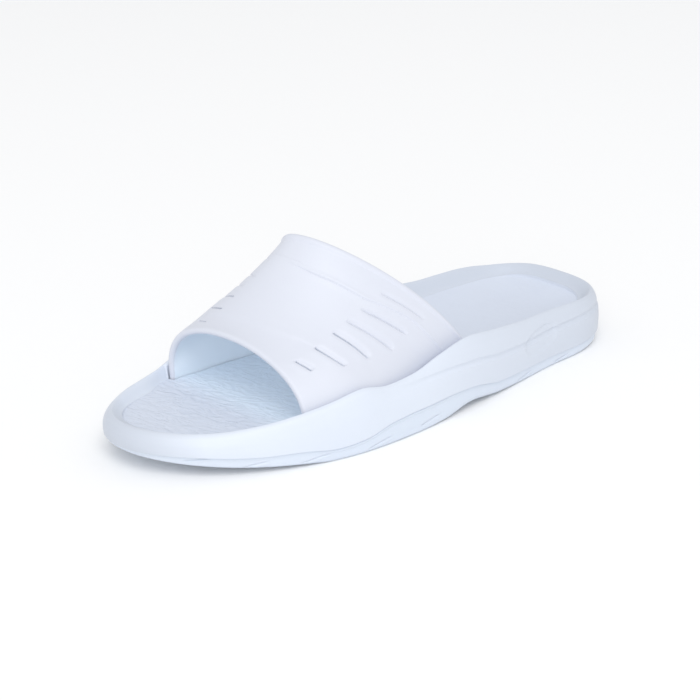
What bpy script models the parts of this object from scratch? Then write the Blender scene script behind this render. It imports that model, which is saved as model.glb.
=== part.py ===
# A left sport slide sandal of moulded foam: outsole, midsole, footbed and strap.
# The length runs along Y with the toe towards -Y, +X is the outer side of the foot, and the ground is z = 0.

import bmesh
import bpy
import numpy as np

# Plan of the sole, in metres
LENGTH = 0.280
BALL_WIDTH = 0.111
WAIST_WIDTH = 0.089
HEEL_WIDTH = 0.084
WAIST_BEND = 0.0095
TOE_BEND = 0.007
HEEL_ROUND = 0.045
TOE_ROUND = 0.098

# How square the plan is at its ends: 2 is an ellipse
HEEL_SQUARE = 2.7
TOE_SQUARE = 2.1

# Heights of the sole, each stacked on the one before
TOE_SPRING = 0.009
ARCH_LIFT = 0.0035
OUTSOLE_THICKNESS = 0.0035
FOAM_THICKNESS = 0.010
FOOTBED_THICKNESS = 0.004
CUP_DEPTH = 0.006
RIM_RISE = 0.015

# Side of the sole
LIP_HEIGHT = 0.012
LIP_WIDTH = 0.0025
LIP_RECESS = 0.001
TRAY_INSET = 0.009
SIDE_ROUND = 0.009
SIDE_GROOVE_DEPTH = 0.0012
SIDE_GROOVE_WIDTH = 0.0030
RIM_INSET = 0.0045
FOOTBED_INSET = 0.011
FOOTBED_INSET_TOE = 0.0088
POCKET_BEFORE_LEG = 0.0035
POCKET_TOE_STRETCH = (0.86, 0.96)
BEFORE_LEG_STRETCH = (0.815, 0.880)

# Tread
TREAD_PITCH = 0.032
TREAD_GROOVE_WIDTH = 0.0032
TREAD_GROOVE_DEPTH = 0.0018
TREAD_EDGE = 0.007
TREAD_WAVE_HEIGHT = 0.0035
TREAD_WAVE_LENGTH = 0.030

# Strap
STRAP_WALL = 0.0035
STRAP_EMBED = 0.004
FRONT_ARCH_HEIGHT = 0.0339
REAR_ARCH_HEIGHT = 0.0697
FRONT_TOP_SHIFT = 0.0040
REAR_TOP_SHIFT = 0.0140
REAR_EDGE_BOW = 0.0038
INSTEP_SAG = 0.0049
LEG_INSET_FRONT = 0.0063
LEG_INSET_REAR = 0.0100
LEG_DROP_FRONT = 0.13
LEG_DROP_REAR = 0.60
EDGE_ROUND = 0.0012
BAND_LINE = 0.0030
BAND_STEP = 0.0004
LOUVRE_DEPTH = 0.0016
SLIT_WIDTH = 0.0013
SLIT_BEHIND = 0.0008

# Clearance between pieces that meet, and round the strap's legs
FIT = 0.0003
LEG_FIT = 0.0005

# Sections of the sole from heel back (0) to toe tip (1). Each column is a share of the size named beside it.
# spring TOE_SPRING, arch ARCH_LIFT, foam FOAM_THICKNESS, cup CUP_DEPTH, rim RIM_RISE, lip LIP_HEIGHT;
# groove is its place between lip and rim, and cut is a share of SIDE_GROOVE_DEPTH.
SECTION_COLUMNS = ("station", "spring", "arch", "foam", "cup", "rim", "lip", "groove", "cut")
SECTIONS = (
    (0.000, 0.42, 0.00, 0.74, 0.60, 0.27, 0.28, 0.67, 1.0),
    (0.060, 0.14, 0.00, 0.81, 0.62, 0.38, 0.40, 0.66, 1.0),
    (0.150, 0.00, 0.00, 0.94, 0.65, 0.44, 0.43, 0.62, 1.0),
    (0.250, 0.00, 0.00, 0.97, 0.80, 0.46, 0.48, 0.54, 1.0),
    (0.350, 0.00, 0.33, 0.95, 0.97, 0.55, 0.49, 0.51, 1.0),
    (0.430, 0.00, 1.00, 0.87, 1.10, 0.57, 0.63, 0.50, 1.0),
    (0.500, 0.00, 0.20, 0.78, 0.87, 0.72, 0.95, 0.60, 1.0),
    (0.560, 0.00, 0.00, 0.69, 0.63, 0.66, 0.98, 0.74, 0.8),
    (0.620, 0.00, 0.00, 0.62, 0.37, 0.73, 0.90, 0.80, 0.3),
    (0.680, 0.00, 0.00, 0.55, 0.22, 0.99, 0.57, 0.72, 0.0),
    (0.730, 0.00, 0.00, 0.51, 0.17, 0.86, 0.48, 0.65, 0.0),
    (0.785, 0.13, 0.00, 0.48, 0.13, 0.63, 0.53, 0.60, 0.0),
    (0.850, 0.31, 0.00, 0.37, 0.12, 0.41, 0.44, 0.58, 0.0),
    (0.930, 0.62, 0.00, 0.21, 0.07, 0.23, 0.36, 0.58, 0.0),
    (1.000, 1.00, 0.00, 0.12, 0.00, 0.15, 0.15, 0.58, 0.0),
)

# The inner side's rim is lower than the outer side's at the heel and in front of the leg.
INNER_RIM_COLUMNS = ("station", "share")
INNER_RIM = (
    (0.000, 1.00),
    (0.030, 0.82),
    (0.070, 0.79),
    (0.120, 0.92),
    (0.170, 1.00),
    (0.250, 1.00),
    (0.765, 1.00),
    (0.800, 0.80),
    (0.825, 0.70),
    (0.860, 0.72),
    (0.920, 0.96),
    (1.000, 1.00),
)

# Inward roll of the sole's side: height share from sole line to rim, inset as a share of SIDE_ROUND.
SIDE_COLUMNS = ("height", "inset")
SIDE_PROFILE = (
    (0.00, 0.14),
    (0.05, 0.05),
    (0.22, 0.02),
    (0.42, 0.00),
    (0.62, 0.03),
    (0.85, 0.18),
    (0.97, 0.37),
    (1.00, 0.50),
)

# The strap's front and rear edge: stations of their feet and of their top, and how square each arch is on its
# outer and its inner side.
EDGE_COLUMNS = ("outer", "inner", "top", "square_outer", "square_inner")
STRAP_EDGES = (
    (0.779, 0.802, 0.783, 2.00, 2.25),
    (0.416, 0.467, 0.619, 2.10, 2.05),
)

# Six louvres on each side, front to rear. high and low are their places from the front edge (0) to the rear
# edge (1) at the upper and the lower end, and bow is how far they arch rearwards between. top and foot are where
# over the strap they start and end, measured from the outer foot. deep is a share of LOUVRE_DEPTH, ramp is the
# length of their slope as a share of the way from the front edge to the rear edge, and slit says whether the cut
# goes through the wall. The inner side's louvres stand further up the strap and further ahead, by up and ahead.
LOUVRE_COLUMNS = ("high", "low", "bow", "top", "foot", "deep", "ramp", "slit", "up", "ahead")
LOUVRES = (
    (0.131, 0.156, 0.002, 0.262, 0.192, 0.80, 0.045, True, 0.103, 0.000),
    (0.297, 0.325, -0.003, 0.262, 0.146, 1.00, 0.050, True, 0.120, 0.000),
    (0.458, 0.479, 0.005, 0.262, 0.126, 1.00, 0.050, True, 0.132, 0.040),
    (0.579, 0.627, 0.003, 0.243, 0.096, 0.85, 0.045, False, 0.151, 0.055),
    (0.694, 0.750, 0.000, 0.229, 0.096, 0.70, 0.030, False, 0.187, 0.085),
    (0.846, 0.887, 0.003, 0.214, 0.096, 0.40, 0.035, False, 0.202, 0.085),
)

# The inner side's louvres reach their own places along this stretch over the top
AHEAD_STRETCH = (0.30, 0.55)

# Steep front of a louvre as a share of the way from the front edge to the rear edge
LOUVRE_STEEP = 0.012

# Lines over the strap from the outer foot (0) over the top (0.5) to the inner foot (1): the crease behind the
# front band, the seam before the rear band, how much of each step shows, and how far the surface takes over it.
STRAP_LINE_COLUMNS = ("over", "crease", "seam", "crease_share", "seam_share")
STRAP_LINES = (
    (0.00, 0.300, 0.835, 0.0, 1.0),
    (0.10, 0.300, 0.832, 0.0, 1.0),
    (0.18, 0.300, 0.794, 0.0, 1.0),
    (0.25, 0.297, 0.758, 0.0, 1.0),
    (0.32, 0.280, 0.754, 1.0, 1.0),
    (0.39, 0.237, 0.746, 1.0, 1.0),
    (0.46, 0.243, 0.756, 1.0, 1.0),
    (0.50, 0.237, 0.760, 1.0, 0.0),
    (0.64, 0.226, 0.780, 1.0, 0.0),
    (0.75, 0.220, 0.790, 0.0, 0.0),
    (0.82, 0.220, 0.800, 0.0, 1.0),
    (1.00, 0.220, 0.835, 0.0, 1.0),
)
CREASE_STEP = 0.020
SEAM_STEP = 0.012

# How far a slit stops short of its louvre's ends, as a share of the way over the strap
SLIT_END = 0.004

# The sole's pocket is deeper under the strap's legs, and eases out over this length past each leg.
POCKET_EASE = 0.0025

# Rows across the strap, beside those at the louvres' ends, and the least distance between two rows
STRAP_ROWS = (0.0, 0.045, 0.070, 0.165, 0.29, 0.345, 0.40, 0.45, 0.50, 0.55, 0.662, 0.79, 0.84, 0.89, 0.94, 1.0)
ROW_STEP = 0.0035

SIDE_STATIONS = 32
TREAD_STEPS = 17
OUTER = 1
INNER = -1

COLORS = {
    "outsole": (0.80, 0.84, 0.90, 1.0),
    "midsole": (0.86, 0.90, 0.95, 1.0),
    "footbed": (0.78, 0.83, 0.90, 1.0),
    "strap": (0.87, 0.91, 0.96, 1.0),
}


def column(table, names, name):
    """One named column of a table."""
    place = names.index(name)
    return np.array([row[place] for row in table], dtype=float)


def smooth(x, knots, values):
    """A cubic through the rows of a table that never overshoots them."""
    run = np.diff(knots)
    rise = np.diff(values) / run
    before, after = rise[:-1], rise[1:]
    same = before * after > 0
    total = np.where(same, before + after, 1.0)
    slope = np.zeros_like(values)
    slope[1:-1] = np.where(same, 2 * before * after / total, 0.0)
    slope[0], slope[-1] = rise[0], rise[-1]
    x = np.clip(np.asarray(x, dtype=float), knots[0], knots[-1])
    i = np.clip(np.searchsorted(knots, x, side="right") - 1, 0, len(run) - 1)
    t = (x - knots[i]) / run[i]
    start = (1 + 2 * t) * (1 - t) ** 2 * values[i] + t * (1 - t) ** 2 * run[i] * slope[i]
    end = t * t * (3 - 2 * t) * values[i + 1] + t * t * (t - 1) * run[i] * slope[i + 1]
    return start + end


def section(station, name):
    """A column of the sections, read at any station."""
    knots = column(SECTIONS, SECTION_COLUMNS, "station")
    return smooth(station, knots, column(SECTIONS, SECTION_COLUMNS, name))


def along(station):
    """Y of a station."""
    return LENGTH * (0.5 - station)


def station_at(y):
    """Station of a Y."""
    return np.clip(0.5 - y / LENGTH, 0.0, 1.0)


# Plan outline

def half_width(station):
    """Half of the sole's greatest width, rounded off at heel and toe by superellipse quarters."""
    knots = np.array([0.0, 0.12, 0.40, 0.72, 0.88, 1.0])
    widths = np.array([HEEL_WIDTH, HEEL_WIDTH, WAIST_WIDTH, BALL_WIDTH, 0.973 * BALL_WIDTH, 0.92 * BALL_WIDTH])
    heel = np.clip(1 - station * LENGTH / HEEL_ROUND, 0, 1)
    toe = np.clip(1 - (1 - station) * LENGTH / TOE_ROUND, 0, 1)
    heel_end = (1 - heel ** HEEL_SQUARE) ** (1 / HEEL_SQUARE)
    toe_end = (1 - toe ** TOE_SQUARE) ** (1 / TOE_SQUARE)
    return 0.5 * smooth(station, knots, widths) * heel_end * toe_end


def bend(station):
    """How far the line halfway across lies outwards of the heel's: outwards at the waist, inwards at the toe."""
    knots = np.array([0.0, 0.15, 0.45, 0.75, 1.0])
    return smooth(station, knots, np.array([0.0, 0.1 * WAIST_BEND, WAIST_BEND, 0.0, -TOE_BEND]))


def box_middle():
    """X halfway between the outline's two widest points, where the model's X = 0 is put."""
    station = np.linspace(0, 1, 401)
    return 0.5 * ((bend(station) + half_width(station)).max() + (bend(station) - half_width(station)).min())


BOX_MIDDLE = box_middle()


def middle(station):
    """X of the line halfway across."""
    return bend(station) - BOX_MIDDLE


def outline(station, side):
    """Plan point of the widest outline at a station on one side."""
    return np.stack([middle(station) + side * half_width(station), along(station)], axis=-1)


def inward(station, side):
    """Unit vector in plan that points into the sole, square to the outline."""
    turn = np.arccos(np.clip(1 - 2 * np.asarray(station, dtype=float), -1, 1))
    step = 1e-4
    before = outline((1 - np.cos(np.clip(turn - step, 0, np.pi))) / 2, side)
    after = outline((1 - np.cos(np.clip(turn + step, 0, np.pi))) / 2, side)
    run = after - before
    vector = np.stack([run[..., 1], -run[..., 0]], axis=-1) * side
    length = np.maximum(np.linalg.norm(vector, axis=-1, keepdims=True), 1e-12)
    vector = vector / length
    at_heel = np.asarray(station) <= 0
    at_toe = np.asarray(station) >= 1
    vector[at_heel] = (0.0, -1.0)
    vector[at_toe] = (0.0, 1.0)
    return vector


# Heights at a station

def sole_line(station):
    return TOE_SPRING * section(station, "spring") + ARCH_LIFT * section(station, "arch")


def tray_floor(station):
    return sole_line(station) + OUTSOLE_THICKNESS


def lip_top(station):
    return sole_line(station) + LIP_HEIGHT * section(station, "lip")


def pocket_floor(station):
    return tray_floor(station) + FIT + FOAM_THICKNESS * section(station, "foam")


def bed_middle(station):
    return pocket_floor(station) + FIT + FOOTBED_THICKNESS


def bed_edge(station):
    return bed_middle(station) + CUP_DEPTH * section(station, "cup")


def rim_top(station, side):
    knots = column(INNER_RIM, INNER_RIM_COLUMNS, "station")
    inner = smooth(station, knots, column(INNER_RIM, INNER_RIM_COLUMNS, "share"))
    return bed_edge(station) + RIM_RISE * section(station, "rim") * np.where(side == INNER, inner, 1.0)


def side_inset(station, side, z):
    """How far the sole's side lies inside the widest outline at a height."""
    low = sole_line(station)
    share = (z - low) / (rim_top(station, side) - low)
    heights = column(SIDE_PROFILE, SIDE_COLUMNS, "height")
    insets = column(SIDE_PROFILE, SIDE_COLUMNS, "inset")
    return SIDE_ROUND * np.interp(share, heights, insets)


# Seats of the strap's legs

def strap_edge(t, name):
    """A column of the strap's edges, read between the front edge (0) and the rear edge (1)."""
    return np.interp(t, [0.0, 1.0], column(STRAP_EDGES, EDGE_COLUMNS, name))


def leg_inset(station):
    """The strap's outer face is near the rim in front and tucks inwards behind the ball."""
    share = smooth(station, np.array([0.52, 0.63]), np.array([1.0, 0.0]))
    return LEG_INSET_FRONT + (LEG_INSET_REAR - LEG_INSET_FRONT) * share


def leg_span(side):
    """Stations of the rear and the front of a leg."""
    name = "outer" if side == OUTER else "inner"
    return strap_edge(1.0, name), strap_edge(0.0, name)


def pocket_ends(side):
    """Stations where the pocket for a leg begins and ends, with their eases."""
    rear, front = leg_span(side)
    gap = 2 * LEG_FIT / LENGTH
    ease = POCKET_EASE / LENGTH
    return rear - gap - ease, rear - gap, front + gap, front + gap + ease


def in_leg(station, side):
    """1 where a leg stands, 0 past it."""
    return np.interp(station, pocket_ends(side), [0.0, 1.0, 1.0, 0.0])


def pocket_inset(station, side):
    """Inset of the footbed's pocket, which comes nearer to the edge round the toe and just before the inner leg."""
    along = smooth(station, np.array(POCKET_TOE_STRETCH), np.array([FOOTBED_INSET, FOOTBED_INSET_TOE]))
    before = smooth(station, np.array(BEFORE_LEG_STRETCH), np.array([POCKET_BEFORE_LEG, 0.0]))
    before_leg = (side == INNER) & (station > sum(leg_span(side)) / 2)
    return along - np.where(before_leg, before, 0.0)


def seat_inset(station, side):
    """Inset of the pocket's side wall."""
    share = in_leg(station, side)
    return pocket_inset(station, side) + (leg_inset(station) - LEG_FIT - pocket_inset(station, side)) * share


def bed_inset(station, side):
    """Inset of the footbed's edge, which stands clear of the pocket's wall or of the leg."""
    share = in_leg(station, side)
    beside_leg = leg_inset(station) + STRAP_WALL + LEG_FIT
    beside_pocket = pocket_inset(station, side) + FIT
    return beside_pocket + (beside_leg - beside_pocket) * share


def wall_foot(station, side):
    """Height where the rim's inner slope ends: at the footbed, or just under the rim where a leg stands."""
    share = in_leg(station, side)
    tucked = (leg_inset(station) - LEG_INSET_FRONT) / (LEG_INSET_REAR - LEG_INSET_FRONT)
    drop = 1 + (LEG_DROP_FRONT + (LEG_DROP_REAR - LEG_DROP_FRONT) * tucked - 1) * share
    return rim_top(station, side) - drop * (rim_top(station, side) - bed_edge(station))


# Rings of points round the sole

def ring_stations():
    """Stations closer together at the round ends, with one at each end of each leg's pocket."""
    even = (1 - np.cos(np.pi * np.arange(SIDE_STATIONS + 1) / SIDE_STATIONS)) / 2
    ends = np.array([end for side in (OUTER, INNER) for end in pocket_ends(side)])
    near = np.abs(even[:, None] - ends[None, :]).min(axis=1) < 0.4 / SIDE_STATIONS
    near[[0, -1]] = False
    return np.sort(np.concatenate([even[~near], ends]))


STATIONS = ring_stations()
RING_STATION = np.concatenate([STATIONS, STATIONS[-2:0:-1]])
RING_SIDE = np.concatenate([np.full(len(STATIONS), OUTER), np.full(len(STATIONS) - 2, INNER)])


def per_side(function):
    """A function of station and side, read at every point of a ring."""
    outer = function(RING_STATION, OUTER)
    inner = function(RING_STATION, INNER)
    pick = RING_SIDE == OUTER
    return np.where(pick[:, None] if outer.ndim == 2 else pick, outer, inner)


def ring(inset, z):
    """A ring of points at an inset from the outline and a height, either of them one value or one a point."""
    plan = per_side(outline) + per_side(inward) * np.broadcast_to(inset, RING_STATION.shape)[:, None]
    return np.column_stack([plan, np.broadcast_to(z, RING_STATION.shape)])


def ring_side(z):
    """Inset of the sole's side at a height, for every point of a ring."""
    return side_inset(RING_STATION, RING_SIDE, z)


def spine():
    """Plan points down the middle of the sole that the rings close in on."""
    station = np.clip(RING_STATION, 0.15, 0.80)
    return np.column_stack([middle(station), along(station)])


def floor_rings(edge, height, shares, rise=0.0):
    """Rings from an edge in to the spine. height gives the level across, and rise is added towards the edge."""
    rings = []
    for share in shares:
        plan = spine() + (edge[:, :2] - spine()) * share
        z = height(station_at(plan[:, 1])) + rise * share ** 2.2
        rings.append(np.column_stack([plan, z]))
    return rings


def loft(name, rings):
    """A closed body through rings that run from the spine of its underside to the spine of its top."""
    count = len(RING_STATION)
    points = np.vstack(rings)
    mesh = bpy.data.meshes.new(name)
    build = bmesh.new()
    verts = [build.verts.new(point) for point in points]
    for low in range(len(rings) - 1):
        for i in range(count):
            j = (i + 1) % count
            a, b = low * count + i, low * count + j
            build.faces.new((verts[a], verts[b], verts[b + count], verts[a + count]))
    bmesh.ops.remove_doubles(build, verts=build.verts, dist=0.00001)
    bmesh.ops.dissolve_degenerate(build, edges=build.edges, dist=0.00001)
    bmesh.ops.triangulate(build, faces=[face for face in build.faces if len(face.verts) > 3])
    bmesh.ops.recalc_face_normals(build, faces=build.faces)
    build.to_mesh(mesh)
    build.free()
    mesh.shade_smooth()
    mesh.set_sharp_from_angle(angle=np.radians(40))
    return mesh


# Pieces of the sole

INWARD_SHARES = (1.0, 0.72, 0.36, 0.0)


def outsole_mesh():
    """A thin tray: ground face, side that slopes out to the waved lip, and the floor that the foam sits on."""
    station = RING_STATION
    low, lip = sole_line(station), lip_top(station)
    ground = ring(LIP_RECESS + ring_side(low), low)
    rings = floor_rings(ground, sole_line, INWARD_SHARES[::-1])
    for share in (0.20, 0.55, 1.0):
        z = low + share * (lip - low)
        rings.append(ring(LIP_RECESS + ring_side(z), z))
    inner = LIP_RECESS + ring_side(lip) + LIP_WIDTH
    rings.append(ring(inner, lip))
    edge = ring(inner + tray_run(lip), tray_floor(station))
    rings += floor_rings(edge, tray_floor, INWARD_SHARES)
    return loft("outsole", rings)


def tray_run(lip):
    """How far the lip's inner side slopes in on its way down to the tray's floor."""
    return np.maximum(TRAY_INSET - LIP_RECESS - LIP_WIDTH - ring_side(lip), LIP_WIDTH)


def midsole_mesh():
    """The foam body: seat in the tray, side with its groove, rolled rim, inner slope and pocket."""
    station = RING_STATION
    lip, rim = lip_top(station), rim_top(station, RING_SIDE)
    over = lip + FIT
    inner = LIP_RECESS + ring_side(lip) + LIP_WIDTH + FIT
    seat = ring(inner + tray_run(lip), tray_floor(station) + FIT)
    rings = floor_rings(seat, lambda s: tray_floor(s) + FIT, INWARD_SHARES[::-1])
    rings.append(ring(inner, over))
    rings.append(ring(ring_side(over), over))

    groove = over + section(station, "groove") * (rim - over)
    half = 0.5 * SIDE_GROOVE_WIDTH
    depth = SIDE_GROOVE_DEPTH * section(station, "cut")
    for share in (0.35, 0.70):
        z = over + share * (groove - half - over)
        rings.append(ring(ring_side(z), z))
    for offset, cut in ((-half, 0.0), (-0.3 * half, 1.0), (0.3 * half, 1.0), (half, 0.0)):
        z = groove + offset
        rings.append(ring(ring_side(z) + cut * depth, z))
    for share in (0.45, 0.86):
        z = groove + half + share * (rim - groove - half)
        rings.append(ring(ring_side(z), z))
    rings.append(ring(RIM_INSET, rim))

    wall = per_side(seat_inset)
    foot = per_side(wall_foot)
    rings.append(ring(RIM_INSET + 0.4 * (wall - RIM_INSET), rim - 0.12 * (rim - foot)))
    rings.append(ring(wall, foot))
    base = ring(wall, pocket_floor(station))
    rings += floor_rings(base, pocket_floor, INWARD_SHARES)
    return loft("midsole", rings)


def footbed_mesh():
    """The insole: flat underneath, dished on top, with its edge rolled over."""
    station = RING_STATION
    inset = per_side(bed_inset)
    under = ring(inset, pocket_floor(station) + FIT)
    rings = floor_rings(under, lambda s: pocket_floor(s) + FIT, INWARD_SHARES[::-1])
    rings.append(ring(inset, bed_edge(station) - EDGE_ROUND))
    rings.append(ring(inset + 0.3 * EDGE_ROUND, bed_edge(station) - 0.3 * EDGE_ROUND))
    top = ring(inset + EDGE_ROUND, bed_edge(station))
    rings += floor_rings(top, bed_middle, (1.0, 0.86, 0.66, 0.40, 0.0), CUP_DEPTH * section(station, "cup"))
    return loft("footbed", rings)


def tread_cutter():
    """Waved bars across the underside, one mesh of closed pieces that stop short of the sides."""
    build = bmesh.new()
    count = int(LENGTH / TREAD_PITCH)
    first = 0.5 * (LENGTH - (count - 1) * TREAD_PITCH)
    for bar in range(count):
        middle_y = 0.5 * LENGTH - first - bar * TREAD_PITCH
        station = station_at(middle_y)
        reach = half_width(station) - TREAD_EDGE
        across = middle(station) + np.linspace(-reach, reach, TREAD_STEPS)
        wave = TREAD_WAVE_HEIGHT * np.sin(2 * np.pi * across / TREAD_WAVE_LENGTH)
        loops = []
        for y_side, z_side in ((-1, -1), (1, -1), (1, 1), (-1, 1)):
            y = middle_y + wave + 0.5 * y_side * TREAD_GROOVE_WIDTH
            level = sole_line(station_at(y))
            z = level + (TREAD_GROOVE_DEPTH if z_side > 0 else -2 * TREAD_GROOVE_DEPTH)
            loops.append([build.verts.new(point) for point in zip(across, y, z)])
        for i in range(len(across) - 1):
            for a, b in ((0, 1), (1, 2), (2, 3), (3, 0)):
                build.faces.new((loops[a][i], loops[b][i], loops[b][i + 1], loops[a][i + 1]))
        for end in (0, -1):
            build.faces.new([loop[end] for loop in loops])
    bmesh.ops.recalc_face_normals(build, faces=build.faces)
    mesh = bpy.data.meshes.new("tread_cutter")
    build.to_mesh(mesh)
    build.free()
    return mesh


# Strap

def strap_point(v, t):
    """Smooth outer face: v runs from the outer foot (0) over the top to the inner foot (1), t front to rear.

    The instep sags by t(1 - t)^2, scaled by 27/4 so that its deepest place, a third of the way back, is 1.
    """
    outer, inner, top = (strap_edge(t, name) for name in ("outer", "inner", "top"))
    power = 2 / np.where(v < 0.5, strap_edge(t, "square_outer"), strap_edge(t, "square_inner"))
    height = bed_middle(top) + FRONT_ARCH_HEIGHT + (REAR_ARCH_HEIGHT - FRONT_ARCH_HEIGHT) * t
    shift = FRONT_TOP_SHIFT + (REAR_TOP_SHIFT - FRONT_TOP_SHIFT) * t
    feet = []
    for station, side in ((outer, OUTER), (inner, INNER)):
        feet.append(outline(station, side) + inward(station, side) * leg_inset(station)[..., None])
    cosine, sine = np.cos(np.pi * v), np.sin(np.pi * v)
    across = np.sign(cosine) * np.abs(cosine) ** power
    up = np.clip(sine, 0, 1) ** power
    mean = (feet[0] + feet[1]) / 2
    reach = (feet[0] - feet[1]) / 2
    x = mean[..., 0] + reach[..., 0] * across - shift * up
    y = mean[..., 1] + reach[..., 1] * across + (along(top) - mean[..., 1]) * up
    y += REAR_EDGE_BOW * t * 4 * up * (1 - up)
    foot_z = np.where(across > 0, rim_top(outer, OUTER), rim_top(inner, INNER)) - STRAP_EMBED
    z = foot_z + (height - foot_z) * up - INSTEP_SAG * 27 / 4 * t * (1 - t) ** 2 * up
    return np.stack([x, y, z], axis=-1)


def strap_frame(v, t):
    """Point, unit vector along t and unit outward normal of the strap's smooth outer face."""
    step = 1e-4
    v = np.clip(v, 2 * step, 1 - 2 * step)
    point = strap_point(v, t)
    run_v = strap_point(v + step, t) - strap_point(v - step, t)
    run_t = strap_point(v, t + step) - strap_point(v, t - step)
    normal = np.cross(run_t, run_v)
    normal /= np.linalg.norm(normal, axis=-1, keepdims=True)
    run_t /= np.linalg.norm(run_t, axis=-1, keepdims=True)
    return point, run_t, normal


def louvre(row, name):
    """One named value of a louvre."""
    return row[LOUVRE_COLUMNS.index(name)]


def louvre_ends(row, side):
    """Where over the strap a louvre's lower and its upper end lie on one side."""
    if side == OUTER:
        return louvre(row, "foot"), louvre(row, "top")
    return 1 - louvre(row, "foot") - louvre(row, "up"), 1 - louvre(row, "top") - louvre(row, "up")


def louvre_share(row, v):
    """0 at a louvre's upper end and beyond it towards the top, 1 at its lower end."""
    reach = np.where(v < 0.5, v, 1 - v - louvre(row, "up"))
    return (louvre(row, "top") - reach) / (louvre(row, "top") - louvre(row, "foot"))


def louvre_line(row, v):
    """Place of a louvre's deepest line from front to rear, which slants and bows towards the leg's foot."""
    share = np.clip(louvre_share(row, v), 0, 1)
    slant = (louvre(row, "low") - louvre(row, "high")) * share
    ahead = louvre(row, "ahead") * smooth(v, np.array(AHEAD_STRETCH), np.array([0.0, 1.0]))
    return louvre(row, "high") + slant + louvre(row, "bow") * 4 * share * (1 - share) - ahead


def strap_line(v, name):
    """A column of the crease's and the seam's table, read anywhere over the strap."""
    over = column(STRAP_LINES, STRAP_LINE_COLUMNS, "over")
    return smooth(v, over, column(STRAP_LINES, STRAP_LINE_COLUMNS, name))


def strap_length(v):
    """Distance from the strap's front edge to its rear edge."""
    return np.linalg.norm(strap_point(v, 1.0) - strap_point(v, 0.0), axis=-1)


def strap_lines(v):
    """Places of the grid's lines from front to rear, with the relief of the outer face on each."""
    size = strap_length(v)
    crease, seam = strap_line(v, "crease"), strap_line(v, "seam")
    edges = np.array([EDGE_ROUND, BAND_LINE])[:, None] / size
    lines = [edges[0], edges[1]]
    sinks = [0 * v, 0 * v]
    for row in LOUVRES:
        inside = np.abs(louvre_share(row, v) - 0.5) < 0.5 + 1e-6
        place = louvre_line(row, v)
        lines += [place - LOUVRE_STEEP, place, place + louvre(row, "ramp")]
        sinks += [0 * v, np.where(inside, louvre(row, "deep") * LOUVRE_DEPTH, 0.0), 0 * v]
    lines += [1 - edges[1], 1 - edges[0]]
    sinks += [0 * v, 0 * v]
    lines = np.array(lines)
    front = np.clip((crease + CREASE_STEP - lines) / CREASE_STEP, 0, 1) * strap_line(v, "crease_share")
    rear = np.clip((lines - seam) / SEAM_STEP, 0, 1) * strap_line(v, "seam_share")
    return lines, BAND_STEP * (rear - front) - np.array(sinks)


def strap_rows():
    """Rows across the strap, closer together over the louvres, with none too near to the one before."""
    ends = [end for row in LOUVRES for side in (OUTER, INNER) for end in louvre_ends(row, side)]
    rows = np.sort(np.concatenate([ends, STRAP_ROWS]))
    kept = [rows[0]]
    for row in rows[1:]:
        if row - kept[-1] > ROW_STEP:
            kept.append(row)
    return np.array(kept)


def strap_mesh():
    """A wall with rounded edges, carried from one foot over the top to the other."""
    rows = strap_rows()
    places, relief = strap_lines(rows)
    v = np.broadcast_to(rows, places.shape)
    point, _, normal = strap_frame(v, places)
    outer = point + normal * relief[..., None]
    inner = point - normal * STRAP_WALL
    ends = []
    for place in (1.0, 0.0):
        edge, _, out = strap_frame(rows, np.full_like(rows, place))
        ends.append(edge - out * 0.5 * STRAP_WALL)
    loops = np.concatenate([outer, ends[0][None], inner[::-1], ends[1][None]]).transpose(1, 0, 2)

    first, last = loops[0].copy(), loops[-1].copy()
    first[:, 2] = pocket_floor(station_at(first[:, 1])) + FIT
    last[:, 2] = pocket_floor(station_at(last[:, 1])) + FIT
    loops = np.concatenate([first[None], loops, last[None]])

    size = loops.shape[1]
    build = bmesh.new()
    verts = [[build.verts.new(point) for point in loop] for loop in loops]
    for low, high in zip(verts[:-1], verts[1:]):
        for i in range(size):
            j = (i + 1) % size
            build.faces.new((low[i], low[j], high[j], high[i]))
    lines = len(places)
    for loop in (verts[0], verts[-1]):
        around = [loop[-1]] + loop[:-1]
        for i in range(lines + 1):
            strip = (around[i], around[i + 1], around[-i - 1], around[-i] if i else around[-1])
            face = list(dict.fromkeys(strip))
            if len(face) > 2:
                build.faces.new(face)
    bmesh.ops.triangulate(build, faces=build.faces)
    bmesh.ops.recalc_face_normals(build, faces=build.faces)
    mesh = bpy.data.meshes.new("strap")
    build.to_mesh(mesh)
    build.free()
    mesh.shade_smooth()
    mesh.set_sharp_from_angle(angle=np.radians(35))
    return mesh


def slit_cutter():
    """Curved blades that cut the through slits, each along its louvre's deepest line on both sides."""
    build = bmesh.new()
    for row in LOUVRES:
        if not louvre(row, "slit"):
            continue
        for side in (OUTER, INNER):
            low, high = sorted(louvre_ends(row, side))
            rows = strap_rows()
            rows = rows[(rows > low + SLIT_END) & (rows < high - SLIT_END)]
            v = np.concatenate([[low + SLIT_END], rows, [high - SLIT_END]])
            point, run, normal = strap_frame(v, louvre_line(row, v))
            centre = point + run * SLIT_BEHIND
            loops = []
            for edge, depth in ((-1, -1), (1, -1), (1, 1), (-1, 1)):
                reach_out = STRAP_WALL if depth > 0 else -2 * STRAP_WALL
                corners = centre + run * 0.5 * edge * SLIT_WIDTH + normal * reach_out
                loops.append([build.verts.new(corner) for corner in corners])
            for i in range(len(v) - 1):
                for a, b in ((0, 1), (1, 2), (2, 3), (3, 0)):
                    build.faces.new((loops[a][i], loops[b][i], loops[b][i + 1], loops[a][i + 1]))
            for end in (0, -1):
                build.faces.new([loop[end] for loop in loops])
    bmesh.ops.recalc_face_normals(build, faces=build.faces)
    mesh = bpy.data.meshes.new("slit_cutter")
    build.to_mesh(mesh)
    build.free()
    return mesh


# Scene

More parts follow.
